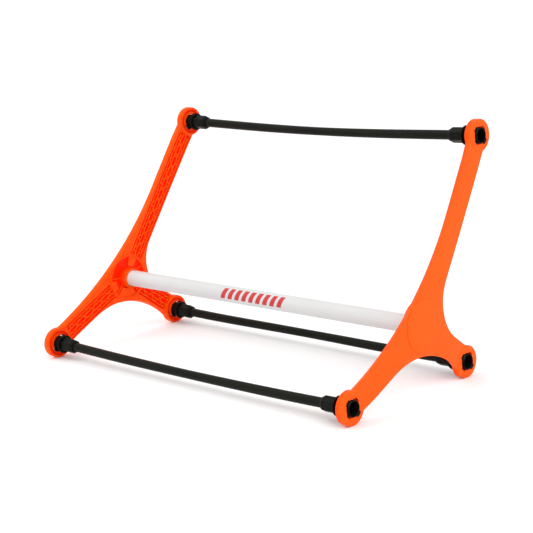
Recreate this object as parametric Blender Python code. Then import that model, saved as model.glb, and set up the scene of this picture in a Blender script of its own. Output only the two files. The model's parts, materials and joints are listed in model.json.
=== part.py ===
"""Agility hurdle: two three-armed end plates, a white centre tube and three flexible bars.

The hurdle stands on two pairs of arm tips and is rolled onto another pair to change its height.
Each bar ends in two couplers, which pass through the bosses at the arm tips and lock there
with a quarter turn. Metres, +X along the bars, +Z up, origin on the floor under the middle.
"""
import math

import bmesh
import bpy
from mathutils import Matrix, Vector

# Overall size
SPAN = 0.523  # between the plates' outer faces, at the height of the hubs
LEAN = math.radians(1.5)  # each plate leans in towards the top by this much
GAP = 0.0003  # left between neighbouring pieces

# End plate, seen from the side: (y, z) of the arm tips and the hub, with the plate upright
BOSS_RADIUS = 0.020
TIPS = {
    "front": (-0.1328, BOSS_RADIUS),
    "rear": (0.0836, BOSS_RADIUS),
    "top": (0.1328, 0.2895),
}
HUB = (-0.0011, 0.0842)

# Plate edges: the direction of each straight edge and how far it passes from its tip's centre
FRONT_EDGE_AT_FRONT_TIP = (math.radians(21.0), 0.0162)
FRONT_EDGE_AT_TOP_TIP = (math.radians(57.3), 0.0160)
FRONT_EDGE_RADIUS = 0.452
REAR_EDGE_AT_TOP_TIP = (math.radians(56.9), 0.0157)
REAR_EDGE_AT_REAR_TIP = (math.radians(-34.6), 0.0168)
REAR_EDGE_RADIUS = 0.0537
LOWER_EDGE_AT_FRONT_TIP = (math.radians(25.7), 0.0153)
LOWER_EDGE_RADIUS = 0.1048
LOWER_EDGE_FROM_REAR_TIP = 0.0193

# Plate depths, measured inwards from the outer face of its bosses, before it is bowed
WEB_FACE = 0.0005
WEB_BACK = 0.0078
EDGE_ROUND = 0.0011
SIDE_SLOPE = 0.0022  # how far the sides lean in, without the rounded edges
CHANNEL_FLOOR = 0.0046
RIB_TOP = 0.0077
HUB_FACE = -0.0003
HUB_FLOOR = 0.0050
HUB_RIM = 0.0088
SPOKE_TOP = 0.0078
PAD_TOP = 0.0076
SOCKET_TOP = 0.0190
BOSS_DEPTH = 0.0090
BOW = 0.0040  # how far the hub stands out from the plane of the three bosses

# Channel along each arm, with four long ribs and two zigzag ribs that cross
CHANNEL_WIDTH = 0.0226
LONG_RIBS = (-0.0080, -0.0031, 0.0031, 0.0080)  # across the channel
RIB_WIDTH = 0.0012
ZIGZAG_STEP = 0.0174
ZIGZAG_START = {"front": 0.0299, "rear": 0.0284, "top": 0.0247}  # from the hub

# Boss: hole, its four lobes, and the groove behind its rim
HOLE_RADIUS = 0.0104
LOBE_REACH = 0.0128
LOBE_WIDTH = 0.0078
SEAT_DEPTH = 0.0022
THROUGH_LOBE = math.radians(45.0)
SEAT_LOBE = math.radians(135.0)
GROOVE_RADII = (0.0134, 0.0168)
GROOVE_FLOOR = 0.0050

# Hub: rim, spokes, raised pads as (start, end, inner radius), and the tube's socket
HUB_RADIUS = 0.0322
HUB_RIM_ROOT = 0.0040
HUB_RIM_RADII = (0.0294, 0.0312)
SOCKET_WALL = 0.0020
SOCKET_CLEARANCE = 0.0006
SPOKE_ANGLES = (24.0, 176.0, 226.0, 308.0, 345.0)
SPOKE_WIDTH = 0.0013
PADS = ((50.0, 80.0, 0.0155), (184.0, 218.0, 0.0210), (234.0, 298.0, 0.0155))

# Centre tube
TUBE_RADIUS = 0.0110
TUBE_WALL = 0.0018

# Coupler, along its axis from the outer face of its boss
SPIGOT_RADIUS = 0.0097
SPIGOT_BORE = 0.0084
SPIGOT_BORE_DEPTH = 0.0150
SPIGOT_END = -0.0020
TAB_REACH = 0.0125
TAB_WIDTH = 0.0072
TAB_GAP = 0.0008  # from a tab to the boss, as the bowed web stands out a little near it
WING_END = 0.0120  # a second pair of tabs, the wings, rests against the boss's inner face
FLANGE_RADIUS = 0.0121
FLANGE_START = 0.0188
FLANGE_END = 0.0209
HEX_START = 0.0218
HEX_RADIUS = 0.0100
TAPER_START = 0.0397
COUPLER_END = 0.0433
TAPER_END_RADIUS = 0.0075
NECK_RADIUS = 0.0088
SOCKET_FLOOR = 0.0250

# Flexible bars, and how far the middle of each hangs below its couplers
BAR_RADIUS = 0.0060
BAR_MIDDLE_RADIUS = 0.0055
BAR_START = SOCKET_FLOOR + GAP
SAG = {"top": 0.0040, "front": 0.0026, "rear": 0.0004}
BAR_STEPS = 14

ROUND = 36  # sides of a boss, a hub and the centre tube
SMALL_ROUND = 18  # sides of a coupler, a multiple of six

HUB_HEIGHT = HUB[1] * math.cos(LEAN) + BOSS_DEPTH * math.sin(LEAN)


def clear_scene():
    for old in list(bpy.data.objects):
        bpy.data.objects.remove(old, do_unlink=True)


def collection(name):
    made = bpy.data.collections.new(name)
    bpy.context.scene.collection.children.link(made)
    return made


def material(name, colour, roughness):
    made = bpy.data.materials.new(name)
    made.use_nodes = True
    shader = made.node_tree.nodes["Principled BSDF"]
    shader.inputs["Base Color"].default_value = (*colour, 1.0)
    shader.inputs["Roughness"].default_value = roughness
    shader.inputs["Metallic"].default_value = 0.0
    made.diffuse_color = (*colour, 1.0)
    return made


def new_object(name, bm, target):
    """The object of a bmesh, with its faces pointing out."""
    bmesh.ops.recalc_face_normals(bm, faces=bm.faces)
    mesh = bpy.data.meshes.new(name)
    bm.to_mesh(mesh)
    bm.free()
    made = bpy.data.objects.new(name, mesh)
    target.objects.link(made)
    return made


def combine(base, tool, operation):
    """Joins, cuts or intersects base with tool, and removes the tool."""
    modifier = base.modifiers.new(operation.lower(), "BOOLEAN")
    modifier.operation = operation
    modifier.solver = "EXACT"
    modifier.object = tool
    bpy.context.view_layer.update()
    evaluated = base.evaluated_get(bpy.context.evaluated_depsgraph_get())
    result = bpy.data.meshes.new_from_object(evaluated)
    base.modifiers.remove(modifier)
    base.data = result
    bpy.data.objects.remove(tool, do_unlink=True)


def tidy_mesh(thing):
    """Merges the slivers that Boolean cuts leave, and marks the sharp edges."""
    bm = bmesh.new()
    bm.from_mesh(thing.data)
    bmesh.ops.remove_doubles(bm, verts=bm.verts, dist=0.00002)
    bmesh.ops.dissolve_limit(
        bm, angle_limit=math.radians(0.2), verts=bm.verts, edges=bm.edges
    )
    bm.to_mesh(thing.data)
    bm.free()
    thing.data.shade_smooth()
    thing.data.set_sharp_from_angle(angle=math.radians(30.0))


# Shapes in a plate's or coupler's own frame: X is depth, (y, z) the plane of the plate


def cylinder(target, centre, radius, start, end, sides=ROUND):
    """A round bar along X, its radius measured to the flats, with a flat facing down."""
    corner = radius / math.cos(math.pi / sides)
    bm = bmesh.new()
    bmesh.ops.create_cone(
        bm,
        cap_ends=True,
        segments=sides,
        radius1=corner,
        radius2=corner,
        depth=end - start,
    )
    half_side = Matrix.Rotation(math.pi / sides, 4, "Z")
    along_x = Matrix.Rotation(math.pi / 2, 4, "Y")
    place = Matrix.Translation(((start + end) / 2, *centre))
    bmesh.ops.transform(bm, matrix=place @ along_x @ half_side, verts=bm.verts)
    return new_object("cylinder", bm, target)


def ring(target, centre, inner, outer, start, end):
    made = cylinder(target, centre, outer, start, end)
    hole = cylinder(target, centre, inner, start - 0.001, end + 0.001)
    combine(made, hole, "DIFFERENCE")
    return made


def bar_box(target, centre, length, width, angle, start, end):
    """A box centred on a point of the plate, its length turned by an angle from +Y."""
    bm = bmesh.new()
    bmesh.ops.create_cube(bm, size=1.0)
    size = Matrix.Diagonal((end - start, length, width, 1.0))
    turn = Matrix.Rotation(angle, 4, "X")
    place = Matrix.Translation(((start + end) / 2, *centre))
    bmesh.ops.transform(bm, matrix=place @ turn @ size, verts=bm.verts)
    return new_object("box", bm, target)


def layered_slab(target, layers):
    """A solid through outlines of equal point count: layers are (depth, outline) pairs."""
    bm = bmesh.new()
    loops = []
    for depth, outline in layers:
        loops.append([bm.verts.new((depth, y, z)) for y, z in outline])
    bm.faces.new(loops[0])
    bm.faces.new(loops[-1])
    count = len(loops[0])
    for lower, upper in zip(loops, loops[1:]):
        for i in range(count):
            j = (i + 1) % count
            bm.faces.new((lower[i], lower[j], upper[j], upper[i]))
    return new_object("slab", bm, target)


# The outline of the plate


def heading(angle):
    return Vector((math.cos(angle), math.sin(angle)))


def left_of(direction):
    return Vector((-direction.y, direction.x))


def crossing(point_a, direction_a, point_b, direction_b):
    """Where two lines of the plane meet."""
    between = point_b - point_a
    along = between.cross(direction_b) / direction_a.cross(direction_b)
    return point_a + direction_a * along


def arc(centre, radius, start, end, steps):
    """Points from one direction to another round a centre, the short way."""
    first = math.atan2(start.y, start.x)
    turn = math.atan2(end.y, end.x) - first
    turn = (turn + math.pi) % (2.0 * math.pi) - math.pi
    return [centre + radius * heading(first + turn * i / steps) for i in range(steps + 1)]


def hollow_edge(start, start_heading, end, end_heading, radius, steps):
    """A straight edge, a hollow arc and a straight edge, with the plate on the right.

    Where the arc is long enough to reach the start, it takes the first straight edge's place.
    """
    start_out = left_of(start_heading)
    end_out = left_of(end_heading)
    centre = crossing(
        start + start_out * radius, start_heading, end + end_out * radius, end_heading
    )
    straight = (centre - start).dot(start_heading)
    if straight > 0.0:
        return [start, *arc(centre, radius, -start_out, -end_out, steps), end]
    return [*arc(centre, radius, start - centre, -end_out, steps), end]


def edge_point(tip, edge, inset):
    """The foot of a tip's centre on one of its edges, and the edge's heading."""
    angle, distance = edge
    direction = heading(angle)
    return Vector(TIPS[tip]) + left_of(direction) * (distance - inset), direction


def lower_edge(inset):
    """The hollow arc from the rear tip and the straight run to the front tip."""
    angle, distance = LOWER_EDGE_AT_FRONT_TIP
    along = heading(angle)
    out = -left_of(along)
    foot = Vector(TIPS["front"]) + out * (distance - inset)
    radius = LOWER_EDGE_RADIUS + inset
    on_line = foot + out * radius
    to_tip = Vector(TIPS["rear"]) - on_line
    reach = radius + LOWER_EDGE_FROM_REAR_TIP - inset
    middle = to_tip.dot(along)
    half_chord = math.sqrt(middle**2 - to_tip.length_squared + reach**2)
    centre = on_line + along * (middle - half_chord)
    return [*arc(centre, radius, Vector(TIPS["rear"]) - centre, -out, 16), foot]


def outline(inset):
    """The plate's outline without its bosses, as (y, z) about the hub, moved in by inset."""
    front, front_heading = edge_point("front", FRONT_EDGE_AT_FRONT_TIP, inset)
    top, top_heading = edge_point("top", FRONT_EDGE_AT_TOP_TIP, inset)
    rear_angle, rear_distance = REAR_EDGE_AT_TOP_TIP
    down = -heading(rear_angle)
    top_rear = Vector(TIPS["top"]) + left_of(down) * (rear_distance - inset)
    rear, rear_heading = edge_point("rear", REAR_EDGE_AT_REAR_TIP, inset)
    points = hollow_edge(
        front, front_heading, top, top_heading, FRONT_EDGE_RADIUS + inset, 10
    )
    points += hollow_edge(
        top_rear, down, rear, rear_heading, REAR_EDGE_RADIUS + inset, 10
    )
    points += lower_edge(inset)
    return [point - Vector(HUB) for point in points]


def arm_line(tip):
    """From the hub: an arm's heading and the two ends of its channel's middle line."""
    end = Vector(TIPS[tip]) - Vector(HUB)
    along = end.normalized()
    first = along * (HUB_RIM_RADII[0] + 0.0009)
    last = end - along * (GROOVE_RADII[1] + 0.0012)
    return along, first, last


def zigzag(tip, start):
    """Corners of a rib that zigzags across an arm's channel from the side called start."""
    along, first, last = arm_line(tip)
    count = math.ceil((last.length - ZIGZAG_START[tip]) / ZIGZAG_STEP)
    corners = []
    for i in range(count + 1):
        side = -start if i % 2 else start
        middle = along * (ZIGZAG_START[tip] + ZIGZAG_STEP * i)
        corners.append(middle + left_of(along) * (side * LONG_RIBS[-1]))
    return corners


def ribbon(path, width):
    """The outline of a strip of even width along a zigzag path."""
    left = []
    right = []
    for i, point in enumerate(path):
        before = (point - path[i - 1]).normalized() if i else None
        after = (path[i + 1] - point).normalized() if i + 1 < len(path) else before
        before = before or after
        across = (left_of(before) + left_of(after)).normalized()
        reach = width / 2 / across.dot(left_of(after))
        left.append(point + across * reach)
        right.append(point - across * reach)
    return left + right[::-1]


# The plate


def add_web(target):
    """The flat web of the plate, with sloping sides and rounded edges."""
    return layered_slab(
        target,
        [
            (WEB_FACE, outline(EDGE_ROUND)),
            (WEB_FACE + EDGE_ROUND, outline(0.0)),
            (WEB_BACK - EDGE_ROUND, outline(SIDE_SLOPE)),
            (WEB_BACK, outline(SIDE_SLOPE + EDGE_ROUND)),
        ],
    )


def add_channel(plate, tip, target):
    """The ribbed channel along the inner face of an arm."""
    along, first, last = arm_line(tip)
    middle = (first + last) / 2
    length = (last - first).length
    angle = math.atan2(along.y, along.x)
    over = WEB_BACK + 0.001
    channel = bar_box(target, middle, length, CHANNEL_WIDTH, angle, CHANNEL_FLOOR, over)
    combine(plate, channel, "DIFFERENCE")
    root = CHANNEL_FLOOR - 0.0008
    for offset in LONG_RIBS:
        centre = middle + left_of(along) * offset
        rib = bar_box(target, centre, length + 0.001, RIB_WIDTH, angle, root, RIB_TOP)
        combine(plate, rib, "UNION")
    for start, top in ((1, RIB_TOP - 0.0003), (-1, RIB_TOP - 0.0004)):
        strip = ribbon(zigzag(tip, start), RIB_WIDTH)
        combine(plate, layered_slab(target, [(root, strip), (top, strip)]), "UNION")


def sector(start, end, inner, outer):
    """The outline of a ring's sector, its angles in degrees."""
    first = heading(math.radians(start))
    last = heading(math.radians(end))
    middle = Vector((0.0, 0.0))
    return arc(middle, outer, first, last, 6) + arc(middle, inner, last, first, 6)


def add_hub(plate, target):
    """The hub: a raised disc, a dish with a rim, spokes and pads, and the tube's socket."""
    middle = (0.0, 0.0)
    combine(plate, cylinder(target, middle, HUB_RADIUS, HUB_FACE, WEB_FACE + 0.001), "UNION")
    combine(plate, cylinder(target, middle, HUB_RIM_RADII[1], HUB_RIM_ROOT, HUB_RIM), "UNION")
    dish = cylinder(target, middle, HUB_RIM_RADII[0], HUB_FLOOR, HUB_RIM + 0.001)
    combine(plate, dish, "DIFFERENCE")
    bore = TUBE_RADIUS + SOCKET_CLEARANCE
    root = HUB_FLOOR - 0.001
    socket = ring(target, middle, bore, bore + SOCKET_WALL, root, SOCKET_TOP)
    combine(plate, socket, "UNION")
    inner = bore + SOCKET_WALL / 2
    outer = sum(HUB_RIM_RADII) / 2
    for degrees in SPOKE_ANGLES:
        angle = math.radians(degrees)
        centre = heading(angle) * (inner + outer) / 2
        spoke = bar_box(target, centre, outer - inner, SPOKE_WIDTH, angle, root, SPOKE_TOP)
        combine(plate, spoke, "UNION")
    for start, end, pad_inner in PADS:
        pad = sector(start, end, pad_inner, outer)
        combine(plate, layered_slab(target, [(root, pad), (PAD_TOP, pad)]), "UNION")


def bow_shape():
    """Coefficients of the form in y and z that is 1 at all three tips and 0 at the hub."""
    rows = []
    for tip in TIPS.values():
        offset = Vector(tip) - Vector(HUB)
        rows.append((offset.x**2, offset.y**2, offset.x * offset.y))
    return Matrix(rows).inverted() @ Vector((1.0, 1.0, 1.0))


def bow(plate):
    """Bows the plate outwards, so that its hub stands out from the plane of its tips."""
    shape = bow_shape()
    bm = bmesh.new()
    bm.from_mesh(plate.data)
    for normal in (Vector((0.0, 1.0, 0.0)), Vector((0.0, 0.0, 1.0))):
        for i in range(-5, 8):
            everything = bm.verts[:] + bm.edges[:] + bm.faces[:]
            bmesh.ops.bisect_plane(
                bm, geom=everything, dist=0.00001, plane_co=normal * (0.031 * i), plane_no=normal
            )
    bmesh.ops.triangulate(bm, faces=bm.faces)
    for vertex in bm.verts:
        _, y, z = vertex.co
        form = shape.x * y * y + shape.y * z * z + shape.z * y * z
        vertex.co.x -= BOW * (1.0 - form)
    bm.to_mesh(plate.data)
    bm.free()


def lobe(target, centre, angle, start, end):
    """A pair of opposite lobes across a boss hole."""
    length = 3 * LOBE_REACH
    box = bar_box(target, centre, length, LOBE_WIDTH, angle, start, end)
    round_end = cylinder(target, centre, LOBE_REACH, start - 0.001, end + 0.001)
    combine(box, round_end, "INTERSECT")
    return box


def add_boss(plate, tip, target):
    """A boss: a rim and a collar with a groove between, and a hole with four lobes."""
    centre = Vector(TIPS[tip]) - Vector(HUB)
    combine(plate, cylinder(target, centre, BOSS_RADIUS, 0.0, BOSS_DEPTH), "UNION")
    over = BOSS_DEPTH + 0.001
    combine(plate, ring(target, centre, *GROOVE_RADII, GROOVE_FLOOR, over), "DIFFERENCE")
    hole = cylinder(target, centre, HOLE_RADIUS, -0.001, over)
    combine(hole, lobe(target, centre, THROUGH_LOBE, -0.001, over), "UNION")
    combine(hole, lobe(target, centre, SEAT_LOBE, -0.001, SEAT_DEPTH), "UNION")
    combine(plate, hole, "DIFFERENCE")


def build_plate(target):
    """The left plate about its hub, its depth running along +X."""
    plate = add_web(target)
    for tip in TIPS:
        add_channel(plate, tip, target)
    add_hub(plate, target)
    bow(plate)
    for tip in TIPS:
        add_boss(plate, tip, target)
    tidy_mesh(plate)
    return plate


# The coupler


def round_section(radius):
    """Corners of a round section, its radius measured to the flats."""
    corner = radius / math.cos(math.pi / SMALL_ROUND)
    step = 2.0 * math.pi / SMALL_ROUND
    return [heading(math.pi / 2 + i * step) * corner for i in range(SMALL_ROUND)]


def hexagon_section(radius):
    """The same count of corners spaced round a hexagon that stands on a corner."""
    corners = [heading(math.pi / 2 + i * math.pi / 3) * radius for i in range(7)]
    per_side = SMALL_ROUND // 6
    points = []
    for start, end in zip(corners, corners[1:]):
        points += [start.lerp(end, k / per_side) for k in range(per_side)]
    return points


def tabs(target, angle, start, end):
    """A pair of opposite tabs on a coupler."""
    middle = (0.0, 0.0)
    pair = bar_box(target, middle, 0.04, TAB_WIDTH, angle, start, end)
    combine(pair, cylinder(target, middle, TAB_REACH, -0.01, 0.02), "INTERSECT")
    return pair


def build_coupler(target):
    """The left couplers' shape about their hinge axis, its depth running along +X."""
    body = layered_slab(
        target,
        [
            (SPIGOT_END, round_section(SPIGOT_RADIUS - 0.0005)),
            (SPIGOT_END + 0.0006, round_section(SPIGOT_RADIUS)),
            (FLANGE_START, round_section(SPIGOT_RADIUS)),
            (FLANGE_START, round_section(FLANGE_RADIUS - 0.0004)),
            (FLANGE_START + 0.0005, round_section(FLANGE_RADIUS)),
            (FLANGE_END - 0.0005, round_section(FLANGE_RADIUS)),
            (FLANGE_END, round_section(FLANGE_RADIUS - 0.0004)),
            (FLANGE_END, round_section(NECK_RADIUS)),
            (HEX_START, round_section(NECK_RADIUS)),
            (HEX_START, hexagon_section(HEX_RADIUS)),
            (TAPER_START, hexagon_section(HEX_RADIUS)),
            (COUPLER_END, round_section(TAPER_END_RADIUS)),
        ],
    )
    middle = (0.0, 0.0)
    combine(body, tabs(target, SEAT_LOBE, SPIGOT_END, -TAB_GAP), "UNION")
    combine(body, tabs(target, THROUGH_LOBE, BOSS_DEPTH + GAP, WING_END), "UNION")
    bore = cylinder(target, middle, SPIGOT_BORE, -0.01, SPIGOT_BORE_DEPTH, SMALL_ROUND)
    combine(body, bore, "DIFFERENCE")
    socket_radius = BAR_RADIUS + GAP
    socket_end = COUPLER_END + 0.001
    socket = cylinder(target, middle, socket_radius, SOCKET_FLOOR, socket_end, SMALL_ROUND)
    combine(body, socket, "DIFFERENCE")
    tidy_mesh(body)
    return body


# Placing: side is -1 for the left plate and +1 for the right


def plate_frame(side):
    """From a plate's own frame, its X pointing to world +X, to the world."""
    place = Matrix.Translation((side * SPAN / 2, HUB[0], HUB_HEIGHT))
    return place @ Matrix.Rotation(-side * LEAN, 4, "Y")


def mirrored_in_x(mesh):
    copy = mesh.copy()
    copy.transform(Matrix.Scale(-1.0, 4, (1.0, 0.0, 0.0)))
    copy.flip_normals()
    return copy


def place_mesh(name, mesh, frame, shade, target):
    made = bpy.data.objects.new(name, mesh)
    made.matrix_world = frame
    if not mesh.materials:
        mesh.materials.append(shade)
    target.objects.link(made)
    return made


def axis_frame(side, tip):
    """The frame of a boss's hinge axis: its origin is on the boss's outer face."""
    offset = Vector(TIPS[tip]) - Vector(HUB)
    return plate_frame(side) @ Matrix.Translation((0.0, *offset))


def bar_path(tip):
    """Points along a bar, from inside the left coupler to inside the right one."""
    depths = (BAR_START, COUPLER_END)
    left = [axis_frame(-1, tip) @ Vector((depth, 0.0, 0.0)) for depth in depths]
    right = [axis_frame(1, tip) @ Vector((-depth, 0.0, 0.0)) for depth in depths]
    length = right[1].x - left[1].x
    straight_sag = math.tan(LEAN) * length / 4
    points = [left[0]]
    for i in range(BAR_STEPS + 1):
        t = i / BAR_STEPS
        bow = 4.0 * t * (1.0 - t)
        drop = straight_sag * bow + (SAG[tip] - straight_sag) * bow**2
        points.append(left[1].lerp(right[1], t) - Vector((0.0, 0.0, drop)))
    return [*points, right[0]]


def build_bar(name, tip, shade, target):
    """A flexible bar, a little thinner in the middle."""
    path = bar_path(tip)
    curve = bpy.data.curves.new(name, "CURVE")
    curve.dimensions = "3D"
    curve.bevel_depth = BAR_RADIUS
    curve.bevel_resolution = 4
    curve.use_fill_caps = True
    spline = curve.splines.new("POLY")
    spline.points.add(len(path) - 1)
    half = path[-1].x
    for point, place in zip(spline.points, path):
        point.co = (*place, 1.0)
        towards_end = abs(place.x) / half
        narrow = BAR_MIDDLE_RADIUS / BAR_RADIUS
        point.radius = min(1.0, narrow + (1.0 - narrow) * towards_end * 1.2)
    swept = bpy.data.objects.new("sweep", curve)
    target.objects.link(swept)
    bpy.context.view_layer.update()
    evaluated = swept.evaluated_get(bpy.context.evaluated_depsgraph_get())
    mesh = bpy.data.meshes.new_from_object(evaluated)
    bpy.data.objects.remove(swept, do_unlink=True)
    bm = bmesh.new()
    bm.from_mesh(mesh)
    bmesh.ops.remove_doubles(bm, verts=bm.verts, dist=0.00002)
    bmesh.ops.recalc_face_normals(bm, faces=bm.faces)
    bm.to_mesh(mesh)
    bm.free()
    mesh.name = name
    place_mesh(name, mesh, Matrix.Identity(4), shade, target)


def build_tube(shade, target):
    """The straight white tube, seated in the sockets of both hubs."""
    end_gap = GAP + TUBE_RADIUS * math.sin(LEAN)
    half = SPAN / 2 - (HUB_FLOOR - BOW) - end_gap
    drop = math.sin(LEAN) * ((HUB_FLOOR + SOCKET_TOP) / 2 - BOW)
    tube = ring(target, (0.0, 0.0), TUBE_RADIUS - TUBE_WALL, TUBE_RADIUS, -half, half)
    tidy_mesh(tube)
    frame = Matrix.Translation((0.0, HUB[0], HUB_HEIGHT - drop))
    place_mesh("centre_tube", tube.data, frame, shade, target)
    bpy.data.objects.remove(tube, do_unlink=True)


def main():
    clear_scene()
    parts = collection("agility_hurdle")
    workshop = collection("cutters")
    orange = material("orange_plastic", (0.90, 0.13, 0.02), 0.42)
    black = material("black_plastic", (0.030, 0.030, 0.027), 0.50)
    rubber = material("black_bar", (0.035, 0.034, 0.030), 0.62)
    white = material("white_tube", (0.82, 0.82, 0.80), 0.38)

    plate = build_plate(workshop)
    coupler = build_coupler(workshop)
    for side, word in ((-1, "left"), (1, "right")):
        plate_mesh = mirrored_in_x(plate.data) if side > 0 else plate.data
        coupler_mesh = mirrored_in_x(coupler.data) if side > 0 else coupler.data
        place_mesh(f"{word}_plate", plate_mesh, plate_frame(side), orange, parts)
        for tip in TIPS:
            frame = axis_frame(side, tip)
            place_mesh(f"{word}_{tip}_coupler", coupler_mesh, frame, black, parts)
    for tool in (plate, coupler):
        bpy.data.objects.remove(tool, do_unlink=True)
    bpy.data.collections.remove(workshop)

    build_tube(white, parts)
    for tip in TIPS:
        build_bar(f"{tip}_bar", tip, rubber, parts)


main()
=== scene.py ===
"""Looks of the agility hurdle: moulded plates, turned couplers, flexible bars and centre tube.

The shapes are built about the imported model's joints, in metres. A plate's or coupler's own
frame has X as depth inwards from the outer face of its bosses, and (y, z) as its plane.
"""

import json
import math

import bmesh
import bpy
from mathutils import Matrix, Vector


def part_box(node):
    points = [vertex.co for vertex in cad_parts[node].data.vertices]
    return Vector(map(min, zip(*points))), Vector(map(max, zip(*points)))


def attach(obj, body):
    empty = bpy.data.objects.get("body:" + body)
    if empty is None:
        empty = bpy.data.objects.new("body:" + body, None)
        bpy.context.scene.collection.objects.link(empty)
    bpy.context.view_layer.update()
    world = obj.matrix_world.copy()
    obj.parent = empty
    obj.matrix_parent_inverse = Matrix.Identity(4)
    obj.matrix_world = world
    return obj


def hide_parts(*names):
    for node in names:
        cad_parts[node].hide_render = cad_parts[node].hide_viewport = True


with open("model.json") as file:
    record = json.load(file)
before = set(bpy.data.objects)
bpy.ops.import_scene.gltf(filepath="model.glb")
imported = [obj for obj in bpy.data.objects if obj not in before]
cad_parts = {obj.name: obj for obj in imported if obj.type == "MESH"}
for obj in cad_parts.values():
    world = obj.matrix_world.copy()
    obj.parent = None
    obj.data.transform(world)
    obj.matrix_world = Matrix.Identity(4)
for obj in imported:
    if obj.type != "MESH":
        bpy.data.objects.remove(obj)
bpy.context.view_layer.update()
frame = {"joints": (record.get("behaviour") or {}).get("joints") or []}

TIPS = ("front", "rear", "top")

# Plate edges: the direction of each straight edge and how far it passes from its tip's centre
FRONT_EDGE_AT_FRONT_TIP = (math.radians(21.0), 0.0162)
FRONT_EDGE_AT_TOP_TIP = (math.radians(57.3), 0.0160)
FRONT_EDGE_RADIUS = 0.452
REAR_EDGE_AT_TOP_TIP = (math.radians(56.9), 0.0157)
REAR_EDGE_AT_REAR_TIP = (math.radians(-34.6), 0.0168)
REAR_EDGE_RADIUS = 0.0537
LOWER_EDGE_AT_FRONT_TIP = (math.radians(25.7), 0.0153)
LOWER_EDGE_RADIUS = 0.1048
LOWER_EDGE_FROM_REAR_TIP = 0.0193
FRONT_EDGE_STEPS = 24
REAR_EDGE_STEPS = 28
LOWER_EDGE_STEPS = 40

# Plate depths before it is bowed
WEB_FACE = 0.0005
WEB_BACK = 0.0078
EDGE_ROUND = 0.0011
SIDE_SLOPE = 0.0022  # how far the sides lean in, without the rounded edges
CHANNEL_FLOOR = 0.0046
RIB_TOP = 0.0077
HUB_FACE = -0.0003
HUB_FLOOR = 0.0050
HUB_RIM = 0.0088
SPOKE_TOP = 0.0078
PAD_TOP = 0.0076
SOCKET_TOP = 0.0190
BOSS_DEPTH = 0.0090
BOSS_RADIUS = 0.0200
BOSS_ROUNDS = (0.0009, 0.0007)  # on its outer and inner faces
BOW = 0.0040
BOW_BLEND = 0.014  # how far from a boss the bow reaches its full depth

# Channel, ribs, boss and hub, in the plane of the plate
CHANNEL_WIDTH = 0.0226
CHANNEL_END_GAP = 0.0004  # from its ends to the hub's rim and the boss
LONG_RIBS = (-0.0080, -0.0031, 0.0031, 0.0080)  # across the channel
RIB_WIDTH = 0.0012
RIB_ROUND = 0.00035
RIB_ROOT = 0.0005  # how far a rib starts below its floor
FINE_ROUND = 0.0003
ZIGZAG_STEP = 0.0174
ZIGZAG_START = {"front": 0.0299, "rear": 0.0284, "top": 0.0247}  # from the hub
ZIGZAG_TOPS = ((1, RIB_TOP - 0.0002), (-1, RIB_TOP - 0.0003))  # of those from each side
HOLE_RADIUS = 0.0104
LOBE_REACH = 0.0128
LOBE_WIDTH = 0.0078
SEAT_DEPTH = 0.0022
THROUGH_LOBE = math.radians(45.0)
SEAT_LOBE = math.radians(135.0)
GROOVE_RADII = (0.0134, 0.0168)
GROOVE_FLOOR = 0.0050
GROOVE_ROUND = 0.0008
MOUTH = ((-0.0002, 0.0008), (0.0006, 0.0), (0.0010, -0.0002))  # depths, and how much wider
HUB_RADIUS = 0.0322
HUB_ROUND = 0.0007
HUB_RIM_ROOT = 0.0040
HUB_RIM_RADII = (0.0294, 0.0312)
HUB_RIM_ROUND = 0.0005
DISH_ROUNDS = (0.0012, 0.0004)  # at its floor and its rim
TUBE_RADIUS = 0.0110
TUBE_WALL = 0.0018
TUBE_RIM_ROUND = 0.0004
SOCKET_WALL = 0.0020
SOCKET_BORE = TUBE_RADIUS + 0.0006
SPOKE_ANGLES = (24.0, 176.0, 226.0, 308.0, 345.0)
SPOKE_WIDTH = 0.0013
SPOKE_ROUND = 0.0004
PADS = ((50.0, 80.0, 0.0155), (184.0, 218.0, 0.0210), (234.0, 298.0, 0.0155))  # degrees, radius
PAD_ROUND = 0.0006
PAD_ROOT = 0.0008  # how far pads, spokes and the socket start below the dish's floor

# Coupler
SPIGOT_RADIUS = 0.0097
SPIGOT_BORE = 0.0084
SPIGOT_BORE_DEPTH = 0.0150
SPIGOT_END = -0.0020
TAB_REACH = 0.0125
TAB_WIDTH = 0.0072
TAB_GAP = 0.0008  # from a tab to the boss's outer face
TAB_BLANK = 0.04  # a pair's length before it is cut round
WING_END = 0.0120
FLANGE_RADIUS = 0.0121
FLANGE_START = 0.0188
FLANGE_END = 0.0209
HEX_START = 0.0218
HEX_RADIUS = 0.0100
HEX_CORNER_SHARE = 0.985  # of the radius, where a corner is turned down
TAPER_START = 0.0397
COUPLER_END = 0.0433
TAPER_END_RADIUS = 0.0075
NECK_RADIUS = 0.0088
GROOVE_RADIUS = 0.0080
SOCKET_FLOOR = 0.0250
COUPLER_ROUND = 0.0004

# Bars
BAR_RADIUS = 0.0060
BAR_MIDDLE_RADIUS = 0.0055
BAR_FLARE = 1.2  # a bar has its full width 1 / 1.2 of the way from its middle to its end
SAG = {"top": 0.0040, "front": 0.0026, "rear": 0.0004}
GAP = 0.0003

BOSS_SIDES = 72
HUB_SIDES = 96
COUPLER_SIDES = 48
BAR_SIDES = 32
BAR_STEPS = 60
TUBE_STEPS = 12
SECTOR_STEPS = 12
ROUND_STEPS = 3
PAST = 0.001  # how far a cutter passes the surface it opens, or a disc sinks into the web
FLARE_PAST = 0.002

# Cuts across the plate, so that its large faces can bow
CUTS = range(-14, 23)
CUT_SPACING = 0.0103
CUT_TOLERANCE = 0.000001
MERGE_DISTANCE = 0.00001
FLAT_ANGLE = math.radians(0.1)

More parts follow.
